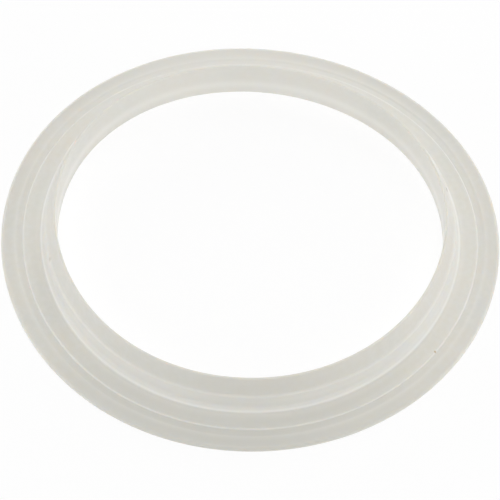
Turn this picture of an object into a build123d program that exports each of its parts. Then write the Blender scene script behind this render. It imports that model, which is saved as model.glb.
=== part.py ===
from build123d import *
from math import atan2, hypot, tan
import os

# Gasket for a spa jet: one moulded ring of soft translucent rubber, in millimetres.
# The origin is at the centre of the bore, in the flat face under the flange.
# +Z is up the neck. Every width below is measured outwards along the radius, one after
# the other, so that each of them can be changed by itself.

# Bore and neck: a tapering wall, thin at the lip, with a sloping shoulder half way up.
bore_diameter = 98.3
lip_width = 0.6
upper_neck_taper = 1.7
upper_neck_height = 4.12
shoulder_width = 0.55
shoulder_height = 0.5
lower_neck_taper = 0.4
lower_neck_height = 3.65

# Foot: the neck runs out in a cove onto a low step.
foot_ledge_width = 0.89
foot_ledge_rise = 0.6
foot_riser_slant = 0.26
foot_height = 0.43

# Flange: a land with a low sealing rim, a shallow groove and an outer band.
flange_thickness = 1.1
land_width = 3.05
land_rise = 0.22
rim_width = 1.15
rim_rise = 0.1
groove_depth = 0.12
groove_inner_slant = 0.25
groove_floor_width = 1.4
groove_outer_slant = 0.6
outer_band_width = 3.5

# Rounds, each named for the edge or corner that it softens.
flange_edge_round = 1.0
neck_cove_round = 1.2
foot_corner_round = 0.8

# Radii of the section's corners, from the bore outwards.
bore_radius = bore_diameter / 2
lip_radius = bore_radius + lip_width
shoulder_top_radius = lip_radius + upper_neck_taper
shoulder_edge_radius = shoulder_top_radius + shoulder_width
cove_radius = shoulder_edge_radius + lower_neck_taper
foot_edge_radius = cove_radius + foot_ledge_width
foot_corner_radius = foot_edge_radius + foot_riser_slant
rim_start_radius = foot_corner_radius + land_width
rim_edge_radius = rim_start_radius + rim_width
groove_inner_radius = rim_edge_radius + groove_inner_slant
groove_outer_radius = groove_inner_radius + groove_floor_width
band_edge_radius = groove_outer_radius + groove_outer_slant
outer_radius = band_edge_radius + outer_band_width

# Heights of the same corners above the flat face.
groove_floor_height = flange_thickness - groove_depth
land_height = flange_thickness + land_rise
rim_height = land_height + rim_rise
foot_edge_height = land_height + foot_height
cove_height = foot_edge_height + foot_ledge_rise
shoulder_edge_height = cove_height + lower_neck_height
shoulder_top_height = shoulder_edge_height + shoulder_height
lip_height = shoulder_top_height + upper_neck_height

# A round may use up this share of the wall that ends in its corner.
wall_share = 0.95


def fitting_round(wanted, wall_length, turn):
    """The wanted round, or the largest that the wall beside the corner leaves room for."""
    return min(wanted, wall_share * wall_length / tan(turn / 2))


riser_slope = atan2(foot_height, foot_riser_slant)
ledge_slope = atan2(foot_ledge_rise, foot_ledge_width)
lower_neck_slope = atan2(lower_neck_height, lower_neck_taper)
foot_round = fitting_round(foot_corner_round, hypot(foot_height, foot_riser_slant), riser_slope)
cove_round = fitting_round(
    neck_cove_round, hypot(foot_ledge_rise, foot_ledge_width), lower_neck_slope - ledge_slope
)
edge_round = min(flange_edge_round, wall_share * flange_thickness)


def section_corners():
    """The half section, as (radius, height, round), from the top of the bore outwards and back."""
    return [
        (bore_radius, lip_height, 0),
        (lip_radius, lip_height, 0),
        (shoulder_top_radius, shoulder_top_height, 0),
        (shoulder_edge_radius, shoulder_edge_height, 0),
        (cove_radius, cove_height, cove_round),
        (foot_edge_radius, foot_edge_height, 0),
        (foot_corner_radius, land_height, foot_round),
        (rim_start_radius, land_height, 0),
        (rim_edge_radius, rim_height, 0),
        (groove_inner_radius, groove_floor_height, 0),
        (groove_outer_radius, groove_floor_height, 0),
        (band_edge_radius, flange_thickness, 0),
        (outer_radius, flange_thickness, edge_round),
        (outer_radius, 0, 0),
        (bore_radius, 0, 0),
    ]


def moulded_ring():
    """The section swept once round the axis of the bore."""
    corners = section_corners()
    with BuildPart() as ring:
        with BuildSketch(Plane.XZ):
            with BuildLine():
                FilletPolyline(
                    [(radius, height) for radius, height, round_size in corners],
                    radius=[round_size for radius, height, round_size in corners],
                    close=True,
                )
            make_face()
        revolve(axis=Axis.Z)
    return ring.part


os.makedirs("parts", exist_ok=True)
gasket_ring = moulded_ring()
gasket_ring.label = "gasket_ring"
export_step(gasket_ring, "parts/gasket_ring.step")

print(f"outer diameter {2 * outer_radius:.2f} mm, height {lip_height:.2f} mm")
print(f"volume {gasket_ring.volume / 1000:.2f} cm3")
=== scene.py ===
# %% [markdown]
# A moulded spa jet gasket, dressed for a studio picture
#
# The object is a ring of soft, milky rubber. It has a flat flange with a shallow groove, and
# a thin tapering neck round a wide bore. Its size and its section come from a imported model,
# the frame. This file adds what that model leaves out: softened edges, the slightly
# out-of-round shape of a soft ring that lies loose, the translucent rubber, the floor, the
# light and the camera.
#
# Blender works in metres here, in the same place and at the same size as the frame.

# %% Load the frame
from math import ceil, cos, exp, hypot, pi, radians, sin, tan

import bpy
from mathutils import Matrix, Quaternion, Vector, kdtree


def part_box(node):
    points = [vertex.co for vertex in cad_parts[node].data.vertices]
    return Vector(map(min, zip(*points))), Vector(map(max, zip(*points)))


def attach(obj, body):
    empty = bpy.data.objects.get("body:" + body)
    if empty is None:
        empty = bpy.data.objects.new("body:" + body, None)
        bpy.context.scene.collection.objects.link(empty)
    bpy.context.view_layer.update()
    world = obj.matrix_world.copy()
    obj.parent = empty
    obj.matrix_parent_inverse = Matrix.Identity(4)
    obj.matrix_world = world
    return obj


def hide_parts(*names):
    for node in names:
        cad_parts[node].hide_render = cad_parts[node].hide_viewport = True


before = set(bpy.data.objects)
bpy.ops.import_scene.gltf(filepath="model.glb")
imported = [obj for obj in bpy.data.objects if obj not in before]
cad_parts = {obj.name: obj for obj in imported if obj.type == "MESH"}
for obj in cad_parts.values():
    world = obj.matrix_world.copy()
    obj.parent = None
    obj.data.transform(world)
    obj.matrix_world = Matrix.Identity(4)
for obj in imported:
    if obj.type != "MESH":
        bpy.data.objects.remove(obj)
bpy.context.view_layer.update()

MM = 0.001
cad_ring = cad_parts["gasket_ring"]
cad_low, cad_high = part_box("gasket_ring")
outer_radius = cad_high.x
cad_corners = [[round(value / MM, 3) for value in corner] for corner in (cad_low, cad_high)]
print("frame box in mm", cad_corners)

# %% [markdown]
# The half section
#
# A ring like this is a flat outline swept round an axis, so one outline says everything about
# it. The frame's mesh is already such a sweep. It could be copied and smoothed with a
# modifier, but a bevel on a mesh of long thin triangles pulls them about. It is cleaner to
# read the outline back and to sweep a new mesh in even rows. The outline's points are the
# vertices in the half plane that goes out from the axis along +X. To put them in order, each
# step goes to the nearest point that a face of the mesh joins to the last one.

# %% Read the half section from the frame
touching = 2e-6


def section_points(mesh):
    """The vertices in the half plane y = 0, x > 0, each once, as (radius, 0, height)."""
    points = []
    for vertex in mesh.vertices:
        if abs(vertex.co.y) < touching and vertex.co.x > 0:
            point = Vector((vertex.co.x, 0, vertex.co.z))
            if all((point - other).length > touching for other in points):
                points.append(point)
    return points


def section_outline(mesh):
    """The same points in order round the outline, as 2-D vectors of radius and height."""
    points = section_points(mesh)
    tree = kdtree.KDTree(len(points))
    for index, point in enumerate(points):
        tree.insert(point, index)
    tree.balance()
    circle_of = [tree.find((hypot(v.co.x, v.co.y), 0, v.co.z))[1] for v in mesh.vertices]
    beside = {index: set() for index in range(len(points))}
    for face in mesh.polygons:
        circles = {circle_of[index] for index in face.vertices}
        for index in circles:
            beside[index] |= circles - {index}
    order = [0]
    left = set(range(1, len(points)))
    while left:
        here = points[order[-1]]
        choice = beside[order[-1]] & left or left
        order.append(min(choice, key=lambda index: (points[index] - here).length))
        left.remove(order[-1])
    return [Vector((points[index].x, points[index].z)) for index in order]


outline = section_outline(cad_ring.data)
print("outline read from the frame:", len(outline), "points")

# %% [markdown]
# Softened edges
#
# No edge of moulded rubber is perfectly sharp, and a sharp edge in a render looks like cut
# card, because it has no width to catch the light. Each sharp corner of the outline becomes a
# short arc here. The frame has rounds of its own, which turn only a few degrees at each of
# their points, so they stay as they are. The lip and the steps of the flange are crisp, the
# underside's edges are a little softer, and the shoulder is the softest.

# %% Soften the sharp corners
sharp_turn = radians(10)
arc_step = radians(12)
wall_share = 0.45
crisp_edge = 0.3 * MM
shoulder_edge = 0.6 * MM
lip_edge = 0.25 * MM
underside_edge = 0.35 * MM
lip_height = cad_high.z
below_shoulder = lip_height / 2


def edge_radius(corner):
    """How soft the edge at this corner of the outline is."""
    if corner.y < touching:
        return underside_edge
    if corner.y > lip_height - touching:
        return lip_edge
    if corner.y > below_shoulder:
        return shoulder_edge
    return crisp_edge


def corner_arc(before, corner, after):
    """The points that stand for one corner: itself, or a short arc that touches both walls."""
    to_before = (before - corner).normalized()
    to_after = (after - corner).normalized()
    turn = pi - to_before.angle(to_after)
    if turn < sharp_turn:
        return [corner]
    room = wall_share * min((before - corner).length, (after - corner).length)
    reach = min(edge_radius(corner) * tan(turn / 2), room)
    start = corner + to_before * reach
    end = corner + to_after * reach
    radius = reach / tan(turn / 2)
    middle = corner + (to_before + to_after).normalized() * radius / cos(turn / 2)
    steps = max(2, ceil(turn / arc_step))
    first = start - middle
    side = (end - middle) - first * cos(turn)
    side = side.normalized() * radius
    angles = [turn * step / steps for step in range(steps + 1)]
    return [middle + first * cos(angle) + side * sin(angle) for angle in angles]


def softened(points):
    """The whole outline with its sharp corners turned into arcs."""
    result = []
    for index, corner in enumerate(points):
        result += corner_arc(points[index - 1], corner, points[(index + 1) % len(points)])
    return result


soft_outline = softened(outline)
print("softened outline:", len(soft_outline), "points")

# %% [markdown]
# Steps along the walls
#
# A flat wall needs only its two ends to have its shape, but this mesh also has to carry a
# value at each of its points, further down. So the long walls get points at even steps. It
# could be done by subdividing the finished mesh, which would split the arcs as well. Doing it
# here, in the outline, gives the walls faces of about one size.

# %% Put even steps along the walls
wall_step = 0.5 * MM


def stepped(points):
    """The outline with extra points along its long walls."""
    result = []
    for start, end in zip(points, points[1:] + points[:1]):
        steps = max(1, round((end - start).length / wall_step))
        result += [start.lerp(end, step / steps) for step in range(steps)]
    return result


section = stepped(soft_outline)
print("section to sweep:", len(section), "points")

# %% [markdown]
# A soft ring is never quite round
#
# Rubber this thin can keep small bends from the way it was stored. Seen from above, the real
# ring is a little longer on one diagonal and slightly three-cornered. The sweep could be a
# plain circle, but then the lines of the render drift off those of the real one. So its radius
# follows a few slow waves: two, three, four and five to the turn, each with a cosine and a
# sine share of the outside radius.
#
# The result is centred again and made to fit the frame's box, so that the dressed ring takes
# up no more room than the frame does.
#
# The outer band rises a little at its edge on the far side. This is a guess: the picture shows
# the band about two pixels wider there than this band looks when it lies flat, and a thicker
# flange or a sharper edge could be the cause as well. A thin soft band often curls, and a curl
# needs no other section than the frame's. Here it grows with the square of the way to the
# edge, like a bent strip.

# %% Sweep the outline round the axis
waves = {2: (-0.0023, -0.0083), 3: (0.0040, 0.0055), 4: (-0.0011, 0.0002), 5: (0.0002, 0.0004)}
steps_round = 360


def bulge(azimuth):
    """How far the ring stands out from true at this azimuth, in metres."""
    share = sum(c * cos(n * azimuth) + s * sin(n * azimuth) for n, (c, s) in waves.items())
    return share * outer_radius


lift_height = 0.8 * MM
lift_width = 4 * MM
lift_narrowing = 1.5
lift_bend = 2


def lift(azimuth, radius):
    """How far the loose band rises here: most at its outer edge, on the far side."""
    way_out = max(0, 1 - (outer_radius - radius) / lift_width)
    return lift_height * max(0, sin(azimuth)) ** lift_narrowing * way_out ** lift_bend


azimuths = [2 * pi * step / steps_round for step in range(steps_round)]
rim = [(outer_radius + bulge(a)) * Vector((cos(a), sin(a))) for a in azimuths]
rim_low = Vector((min(p.x for p in rim), min(p.y for p in rim)))
rim_high = Vector((max(p.x for p in rim), max(p.y for p in rim)))
centre_shift = (rim_low + rim_high) / 2
rim_length = rim_high.x - rim_low.x
rim_depth = rim_high.y - rim_low.y
fit = min(1, 2 * outer_radius / rim_length, 2 * outer_radius / rim_depth)
moved_by = [round(-value / MM, 3) for value in centre_shift]
print("ring moved by", moved_by, "mm and scaled by", round(fit, 5))


def swept_ring(name, points):
    """A mesh object: the outline taken round the axis, with the ring's own bulges."""
    vertices = []
    for azimuth in azimuths:
        for point in points:
            flat = (point.x + bulge(azimuth)) * Vector((cos(azimuth), sin(azimuth)))
            flat = (flat - centre_shift) * fit
            vertices.append((flat.x, flat.y, point.y + lift(azimuth, point.x)))
    count = len(points)
    faces = []
    for step in range(steps_round):
        here, there = step * count, (step + 1) % steps_round * count
        for index in range(count):
            other = (index + 1) % count
            faces.append((here + index, here + other, there + other, there + index))
    mesh = bpy.data.meshes.new(name)
    mesh.from_pydata(vertices, [], faces)
    mesh.update()
    piece = bpy.data.objects.new(name, mesh)
    bpy.context.scene.collection.objects.link(piece)
    return piece


moulded_ring = swept_ring("moulded_ring", section)
print("moulded_ring:", len(moulded_ring.data.polygons), "faces")

# %% [markdown]
# Smooth shading and the right way out
#
# The faces of the sweep all have four corners and lie in rows, so smooth shading needs no
# tricks. The direction of the outline decides which way the faces look. It is measured by the
# sign of the outline's area, and the faces are turned over if they look inwards. Light that
# scatters inside the rubber needs this to be right.

# %% Turn the faces outwards
signed_area = sum(start.cross(end) for start, end in zip(outline, outline[1:] + outline[:1]))
if signed_area > 0:
    moulded_ring.data.flip_normals()
moulded_ring.data.shade_smooth()
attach(moulded_ring, "root")
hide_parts("gasket_ring")
print("outline area in square mm", round(abs(signed_area) / 2 / MM ** 2, 2))

# %% [markdown]
# The ridges
#
# Milky rubber looks paler where it comes to an edge: light that goes in on one side of the
# edge soon leaves on the other, and loses less of itself on the way. The real ring shows four
# such bright lines, on the edge of the outer band, on the sealing rim, on the step at the
# neck's foot and on the shoulder, and here they are painted into the colour as highlights.
# They are the outline's outward corners, so they can be found by their turn, and need no
# places of their own. Scattering by itself drew such lines too faintly here, and a longer
# scattering made the thin lip too bright.

# %% Find the ridges
ridge_names = ("band", "rim", "foot", "shoulder")


def is_ridge(before, corner, after):
    """Whether the rubber comes to an outward edge here, between the underside and the lip."""
    wall_in = corner - before
    wall_out = after - corner
    outward = wall_in.cross(wall_out) * signed_area > 0
    between = touching < corner.y < lip_height - touching
    return outward and between and wall_in.angle(wall_out) > sharp_turn


corners = zip(outline[-1:] + outline[:-1], outline, outline[1:] + outline[:1])
ridge_corners = [corner for before, corner, after in corners if is_ridge(before, corner, after)]
ridge_corners.sort(key=lambda corner: -corner.x)
ridges = dict(zip(ridge_names, ridge_corners))
for name, corner in ridges.items():
    print(name, "ridge at", tuple(round(value / MM, 2) for value in corner), "mm")

# %% [markdown]
# A value on the mesh
#
# How much painted light each point gets goes onto the mesh as an attribute, a number from 0
# to 1 that the material can read. It is the sum of soft round spots on the section. Each has a
# ridge that it is measured from, a place in millimetres outwards and upwards from there, a
# strength, and a reach in millimetres. The spots on the ridges are painted highlights. The
# cove, the lower neck and the bore's wall get spots of painted light too, because the lamps
# leave them darker than on the real ring.

# %% Write how much painted light each point gets
# Painted highlights on the ridges, and painted light on the cove, lower neck and bore wall.
painted_light_spots = {
    "band edge": ("band", (0.05, 0.0), 0.25, 0.5),
    "rim step": ("rim", (0.15, -0.24), 0.80, 0.22),
    "rim top": ("rim", (-0.70, 0.0), 0.10, 0.9),
    "foot corner": ("foot", (0.90, -0.4), 0.10, 0.7),
    "foot edge": ("foot", (0.0, 0.0), 0.85, 0.30),
    "cove": ("foot", (-0.9, 0.6), 0.45, 0.9),
    "lower neck": ("shoulder", (0.2, -1.8), 0.65, 1.7),
    "shoulder edge": ("shoulder", (0.1, -0.2), 0.25, 0.9),
    "bore wall": ("foot", (-4.1, 1.6), 0.45, 1.4),
}


def painted_light(point):
    """How much painted light the point gets, from 0 to 1."""
    total = 0
    for ridge, offset, strength, reach in painted_light_spots.values():
        middle = ridges[ridge] + Vector(offset) * MM
        total += strength * exp(-((point - middle).length / (reach * MM)) ** 2)
    return min(1, total)


# The painted light goes onto every point of the mesh.
painted_light_along_section = [painted_light(point) for point in section]
painted_light_values = moulded_ring.data.attributes.new("painted_light", "FLOAT", "POINT")
painted_light_values.data.foreach_set("value", painted_light_along_section * steps_round)
print("palest point", round(max(painted_light_along_section), 2), "of the way to the palest rubber")

# %% [markdown]
# Milky silicone rubber
#
# Unfilled silicone is cloudy, not clear and not opaque. Light goes in, scatters for a part of
# a millimetre and comes out again somewhere else, so that edges glow and no corner is quite
# dark. A mix of glass and diffuse would show what lies behind too sharply. The Principled
# shader's subsurface part, taken as the whole of the colour, scatters the light in the solid
# itself. Its scale is the distance in metres, and its radius lets red go a little further
# than blue, which keeps the thin lip warm.

# %% Make the silicone
scattered_share = 1.0
scatter_distance = 0.4 * MM
scatter_by_colour = (1.0, 0.9, 0.75)
silicone_ior = 1.41
silicone = bpy.data.materials.new("silicone")
silicone.use_nodes = True
nodes = silicone.node_tree.nodes
links = silicone.node_tree.links
rubber = nodes["Principled BSDF"]
rubber.inputs["Subsurface Weight"].default_value = scattered_share
rubber.inputs["Subsurface Scale"].default_value = scatter_distance
rubber.inputs["Subsurface Radius"].default_value = scatter_by_colour
rubber.inputs["IOR"].default_value = silicone_ior
print("silicone scatters over", scatter_distance / MM, "mm")

# %% [markdown]
# Cloudiness
#
# The real rubber isn't one even colour. It has faint clouds a little wider than the flange,
# some warmer and some greyer, and a finer mottling on top. Both are noise in the object's own
# coordinates, which here are metres, so that the clouds are moulded in and don't slide.
# Painting a texture could do it too, but noise has no seam round the ring. The limits say
# which values of the noise count as none and as all of the second colour.

# %% Give the rubber its clouds
cloud_size = 18 * MM
cloud_detail = 2.0
cloud_limits = (0.35, 0.65)
fleck_size = 1.6 * MM
fleck_detail = 3.0
fleck_limits = (0.40, 0.75)
grey_rubber = (0.765, 0.762, 0.715, 1)
warm_rubber = (0.790, 0.768, 0.705, 1)
pale_rubber = (0.800, 0.790, 0.745, 1)


def noise(label, size, detail):
    """Noise in object coordinates whose clouds are about this wide."""
    place = nodes.new("ShaderNodeTexCoord")
    texture = nodes.new("ShaderNodeTexNoise")
    texture.label = label
    texture.inputs["Scale"].default_value = 1 / size
    texture.inputs["Detail"].default_value = detail
    links.new(place.outputs["Object"], texture.inputs["Vector"])
    return texture.outputs["Fac"]


def spread(value, low, high):
    """The value stretched so that low becomes 0 and high becomes 1."""
    stretch = nodes.new("ShaderNodeMapRange")
    stretch.inputs["From Min"].default_value = low
    stretch.inputs["From Max"].default_value = high
    links.new(value, stretch.inputs["Value"])
    return stretch.outputs["Result"]


def blended(share, first, second):
    """A colour between two others. Each of them is a colour or another node's output."""
    mix = nodes.new("ShaderNodeMix")
    mix.data_type = "RGBA"
    links.new(share, mix.inputs["Factor"])
    for socket, colour in ((mix.inputs["A"], first), (mix.inputs["B"], second)):
        if isinstance(colour, tuple):
            socket.default_value = colour
        else:
            links.new(colour, socket)
    return mix.outputs["Result"]


clouds = spread(noise("clouds", cloud_size, cloud_detail), *cloud_limits)
flecks = spread(noise("flecks", fleck_size, fleck_detail), *fleck_limits)
clouded = blended(clouds, grey_rubber, warm_rubber)
mottled = blended(flecks, clouded, pale_rubber)
print("clouds", cloud_size / MM, "mm wide, flecks", fleck_size / MM, "mm")

# %% [markdown]
# Painted shade on one side, painted light on the other
#
# The near side is a shade greyer than the rest, which is light that comes more from the
# back. No set of lamps that was tried gave all of it without spoiling the upright faces, so a
# part of that shade is painted into the colour here. The far side is painted a shade paler as
# light, because its raised band came out too dark. How far a point lies towards one side is
# the dot product of its place and a direction, which is a single vector node.

# %% Paint shade on the near side and light on the far side
painted_shade_side = (0.0, -1.0, 0.0)
painted_shade_start, painted_shade_end = 35 * MM, 63 * MM
painted_light_start, painted_light_end = -30 * MM, -63 * MM
# Painted shade for the near side, and painted light for the far side.
painted_shade_rubber = (0.725, 0.718, 0.670, 1)
painted_far_light_rubber = (0.820, 0.810, 0.765, 1)
ring_place = nodes.new("ShaderNodeTexCoord")
towards_side = nodes.new("ShaderNodeVectorMath")
towards_side.operation = "DOT_PRODUCT"
towards_side.inputs[1].default_value = painted_shade_side
links.new(ring_place.outputs["Object"], towards_side.inputs[0])
painted_shade_share = spread(towards_side.outputs["Value"], painted_shade_start, painted_shade_end)
painted_light_share = spread(towards_side.outputs["Value"], painted_light_start, painted_light_end)
shaded = blended(painted_light_share, blended(painted_shade_share, mottled, painted_shade_rubber), painted_far_light_rubber)
print("greyest at", painted_shade_end / MM, "mm and palest at", painted_light_end / MM, "mm towards", painted_shade_side)

# %% [markdown]
# Painted highlights
#
# The value that the mesh carries now blends from the clouded rubber to the palest one, which
# paints the highlights on the ridges and the light on the cove, the lower neck and the bore's
# wall into the colour. It could change the scattering instead, but a colour is easier to
# judge and to change.

# %% Paint highlights on the ridges
# The colour of the painted highlights and the painted light.
painted_highlight_rubber = (0.93, 0.92, 0.88, 1)
mesh_value = nodes.new("ShaderNodeAttribute")
mesh_value.attribute_name = "painted_light"
with_painted_highlights = blended(mesh_value.outputs["Fac"], shaded, painted_highlight_rubber)
print("ridge colour", painted_highlight_rubber[:3])

# %% [markdown]
# Three small marks
#
# The real ring has a tan speck on the sealing rim, a short dark scratch on the shoulder and a
# faint smudge on the neck. Each is an ellipsoid in the object's own coordinates: a mapping
# node moves, turns and scales the place so that the mark becomes a ball one unit in radius,
# and the distance from its middle gives the strength. A painted texture would need an
# unwrapped mesh for three spots. The table has each mark's middle and half sizes in
# millimetres, its turn in degrees, and its colour.

# %% Add the marks
mark_edge, mark_core = 1.0, 0.4
marks = {
    "tan speck": ((45.71, -34.69, 1.25), (0.36, 0.36, 0.60), 0.0, (0.60, 0.48, 0.30, 1)),
    "scratch": ((49.88, 12.05, 6.46), (0.24, 1.00, 0.50), 13.1, (0.54, 0.52, 0.48, 1)),
    "smudge": ((-49.97, -11.15, 6.10), (0.75, 0.80, 1.10), 0.0, (0.735, 0.72, 0.665, 1)),
}


def mark_strength(label, place, half_sizes, turn):
    """1 in the core of the mark, falling to 0 at its edge."""
    whole_place = nodes.new("ShaderNodeTexCoord")
    own_place = nodes.new("ShaderNodeMapping")
    own_place.label = label
    own_place.vector_type = "TEXTURE"
    own_place.inputs["Location"].default_value = Vector(place) * MM
    own_place.inputs["Rotation"].default_value = (0, 0, radians(turn))
    own_place.inputs["Scale"].default_value = Vector(half_sizes) * MM
    links.new(whole_place.outputs["Object"], own_place.inputs["Vector"])
    distance = nodes.new("ShaderNodeVectorMath")
    distance.operation = "LENGTH"
    links.new(own_place.outputs["Vector"], distance.inputs[0])
    return spread(distance.outputs["Value"], mark_edge, mark_core)


marked = with_painted_highlights
for label, (place, half_sizes, turn, colour) in marks.items():
    marked = blended(mark_strength(label, place, half_sizes, turn), marked, colour)
links.new(marked, rubber.inputs["Base Color"])
print("marks:", ", ".join(marks))

# %% [markdown]
# The satin skin
#
# The mould's surface leaves a fine satin on the rubber. It blurs reflections, a little more
# in some places than in others, and it has a grain too fine to see as bumps from a step away.
# Roughness noise makes the first and a very low bump the second. Real displacement would need
# millions of faces for the same look.

# %% Make the skin satin
skin_patch = 6 * MM
skin_patch_detail = 2.0
skin_grain = 0.35 * MM
skin_grain_detail = 4.0
grain_height = 0.012 * MM
least_rough, most_rough = 0.38, 0.50
sheen_change = nodes.new("ShaderNodeMapRange")
sheen_change.inputs["To Min"].default_value = least_rough
sheen_change.inputs["To Max"].default_value = most_rough
links.new(noise("skin patches", skin_patch, skin_patch_detail), sheen_change.inputs["Value"])
links.new(sheen_change.outputs["Result"], rubber.inputs["Roughness"])
grain = nodes.new("ShaderNodeBump")
grain.inputs["Distance"].default_value = grain_height
links.new(noise("skin grain", skin_grain, skin_grain_detail), grain.inputs["Height"])
links.new(grain.outputs["Normal"], rubber.inputs["Normal"])
moulded_ring.data.materials.append(silicone)
print("roughness", least_rough, "to", most_rough, "and grain", grain_height / MM, "mm high")

# %% [markdown]
# The floor
#
# The ring lies on a plain white sheet that the picture shows as pure white. More lamplight
# would bleach the rubber as well, so the sheet has two answers. To the camera and to
# reflections it is almost all glow, with a little real shading left so that the ring keeps
# its faint shadow. To light that bounces it is white paper with a weaker glow, which lights
# the ring from below.

# %% Lay the floor
floor_gap = 0.05 * MM
floor_width = 6.0
paper_white = 0.80
seen_shading = 0.20
seen_glow = 0.82
bounce_glow = 0.33
bpy.ops.mesh.primitive_plane_add(size=floor_width, location=(0, 0, -floor_gap))
floor = bpy.context.object
floor.name = "floor"
paper = bpy.data.materials.new("white_sheet")
paper.use_nodes = True
sheet_nodes = paper.node_tree.nodes
sheet_links = paper.node_tree.links
sheet_nodes.clear()


def sheet_answer(white, glow):
    """Diffuse white with some glow added."""
    diffuse = sheet_nodes.new("ShaderNodeBsdfDiffuse")
    diffuse.inputs["Color"].default_value = (white, white, white, 1)
    emission = sheet_nodes.new("ShaderNodeEmission")
    emission.inputs["Strength"].default_value = glow
    both = sheet_nodes.new("ShaderNodeAddShader")
    sheet_links.new(diffuse.outputs[0], both.inputs[0])
    sheet_links.new(emission.outputs[0], both.inputs[1])
    return both.outputs[0]


def larger(first, second):
    """The larger of two light path answers, so that either of them is enough."""
    pick = sheet_nodes.new("ShaderNodeMath")
    pick.operation = "MAXIMUM"
    sheet_links.new(first, pick.inputs[0])
    sheet_links.new(second, pick.inputs[1])
    return pick.outputs[0]


path = sheet_nodes.new("ShaderNodeLightPath")
mirrored = larger(path.outputs["Is Glossy Ray"], path.outputs["Is Transmission Ray"])
seen = larger(path.outputs["Is Camera Ray"], mirrored)
answer = sheet_nodes.new("ShaderNodeMixShader")
sheet_links.new(seen, answer.inputs[0])
sheet_links.new(sheet_answer(paper_white, bounce_glow), answer.inputs[1])
sheet_links.new(sheet_answer(seen_shading, seen_glow), answer.inputs[2])
sheet_out = sheet_nodes.new("ShaderNodeOutputMaterial")
sheet_links.new(answer.outputs[0], sheet_out.inputs[0])
floor.data.materials.append(paper)
print("floor", floor_width, "m wide,", floor_gap / MM, "mm under the ring")

# %% [markdown]
# The light
#
# The real picture seems to be taken in soft light from all round. The ring's upright faces
# are brighter in it than the flat ones, and its back is brighter than its front. An even
# white world gives the soft base. One round lamp above and one behind give the flat faces
# their light, and eight lower ones all round give the upright faces theirs. The table has
# each lamp's place and width in metres, and its watts.

# %% Light the ring
world_light = 0.31
world_colour = (1, 1, 1, 1)
high_lamp = 0.25
low_lamp = 0.20
lamps = {
    "above": ((0.0, -0.10, 0.45), high_lamp, 0.70),
    "back": ((0.10, 0.36, 0.32), high_lamp, 0.34),
    "back_right": ((0.35, 0.35, 0.12), low_lamp, 0.21),
    "back_middle": ((0.0, 0.50, 0.10), low_lamp, 0.32),
    "back_left": ((-0.35, 0.35, 0.12), low_lamp, 0.27),
    "left": ((-0.50, -0.05, 0.04), low_lamp, 0.44),
    "right": ((0.50, -0.05, 0.04), low_lamp, 0.54),
    "front_right": ((0.35, -0.30, 0.20), high_lamp, 0.17),
    "front_middle": ((0.0, -0.45, 0.12), low_lamp, 0.08),
    "front_left": ((-0.35, -0.30, 0.20), high_lamp, 0.19),
}
world = bpy.data.worlds.new("soft_room")
world.use_nodes = True
bpy.context.scene.world = world
background = world.node_tree.nodes["Background"]
background.inputs["Color"].default_value = world_colour
background.inputs["Strength"].default_value = world_light


def round_lamp(name, place, width, watts):
    """A disk of light that faces the middle of the ring."""
    light = bpy.data.lights.new(name, "AREA")
    light.shape = "DISK"
    light.size = width
    light.energy = watts
    lamp = bpy.data.objects.new(name, light)
    lamp.location = place
    lamp.rotation_mode = "QUATERNION"
    lamp.rotation_quaternion = (-Vector(place)).to_track_quat("-Z", "Y")
    bpy.context.scene.collection.objects.link(lamp)


for name, (place, width, watts) in lamps.items():
    round_lamp(name + "_lamp", place, width, watts)
all_watts = sum(watts for place, width, watts in lamps.values())
print(len(lamps), "lamps,", round(all_watts, 2), "watts in all")

# %% [markdown]
# The camera
#
# The picture looks down on the ring at about 53 degrees, from far enough away for the circles
# to stay almost true ellipses. The view was found by matching the ring's own circles to the
# picture: the angle, then the distance in outside radii, then the focal length in pixels.
# Blender wants that last one in millimetres on a 36 mm wide film. The aim is moved by as much
# as the ring was when it was centred.

# %% Set the camera
picture_width = 500
film_width = 36
looking_down = radians(53.09)
camera_roll = radians(0.62)
camera_distance = 10.68 * outer_radius
nearest_seen = 0.01
focal_pixels = 2679.7
aim_offset = Vector((0.0039, -0.0532, 0)) * outer_radius
aim = aim_offset - Vector((centre_shift.x, centre_shift.y, 0))
view_direction = Vector((0, cos(looking_down), -sin(looking_down)))
camera_data = bpy.data.cameras.new("camera")
camera_data.sensor_width = film_width
camera_data.lens = focal_pixels / picture_width * film_width
camera_data.clip_start = nearest_seen
camera = bpy.data.objects.new("camera", camera_data)
camera.location = aim - view_direction * camera_distance
camera.rotation_mode = "QUATERNION"
level_view = view_direction.to_track_quat("-Z", "Y")
camera.rotation_quaternion = level_view @ Quaternion((0, 0, 1), camera_roll)
bpy.context.scene.collection.objects.link(camera)
bpy.context.scene.camera = camera
bpy.context.scene.view_settings.view_transform = "Standard"
print("lens", round(camera_data.lens, 1), "mm, camera", round(camera_distance, 3), "m from the ring")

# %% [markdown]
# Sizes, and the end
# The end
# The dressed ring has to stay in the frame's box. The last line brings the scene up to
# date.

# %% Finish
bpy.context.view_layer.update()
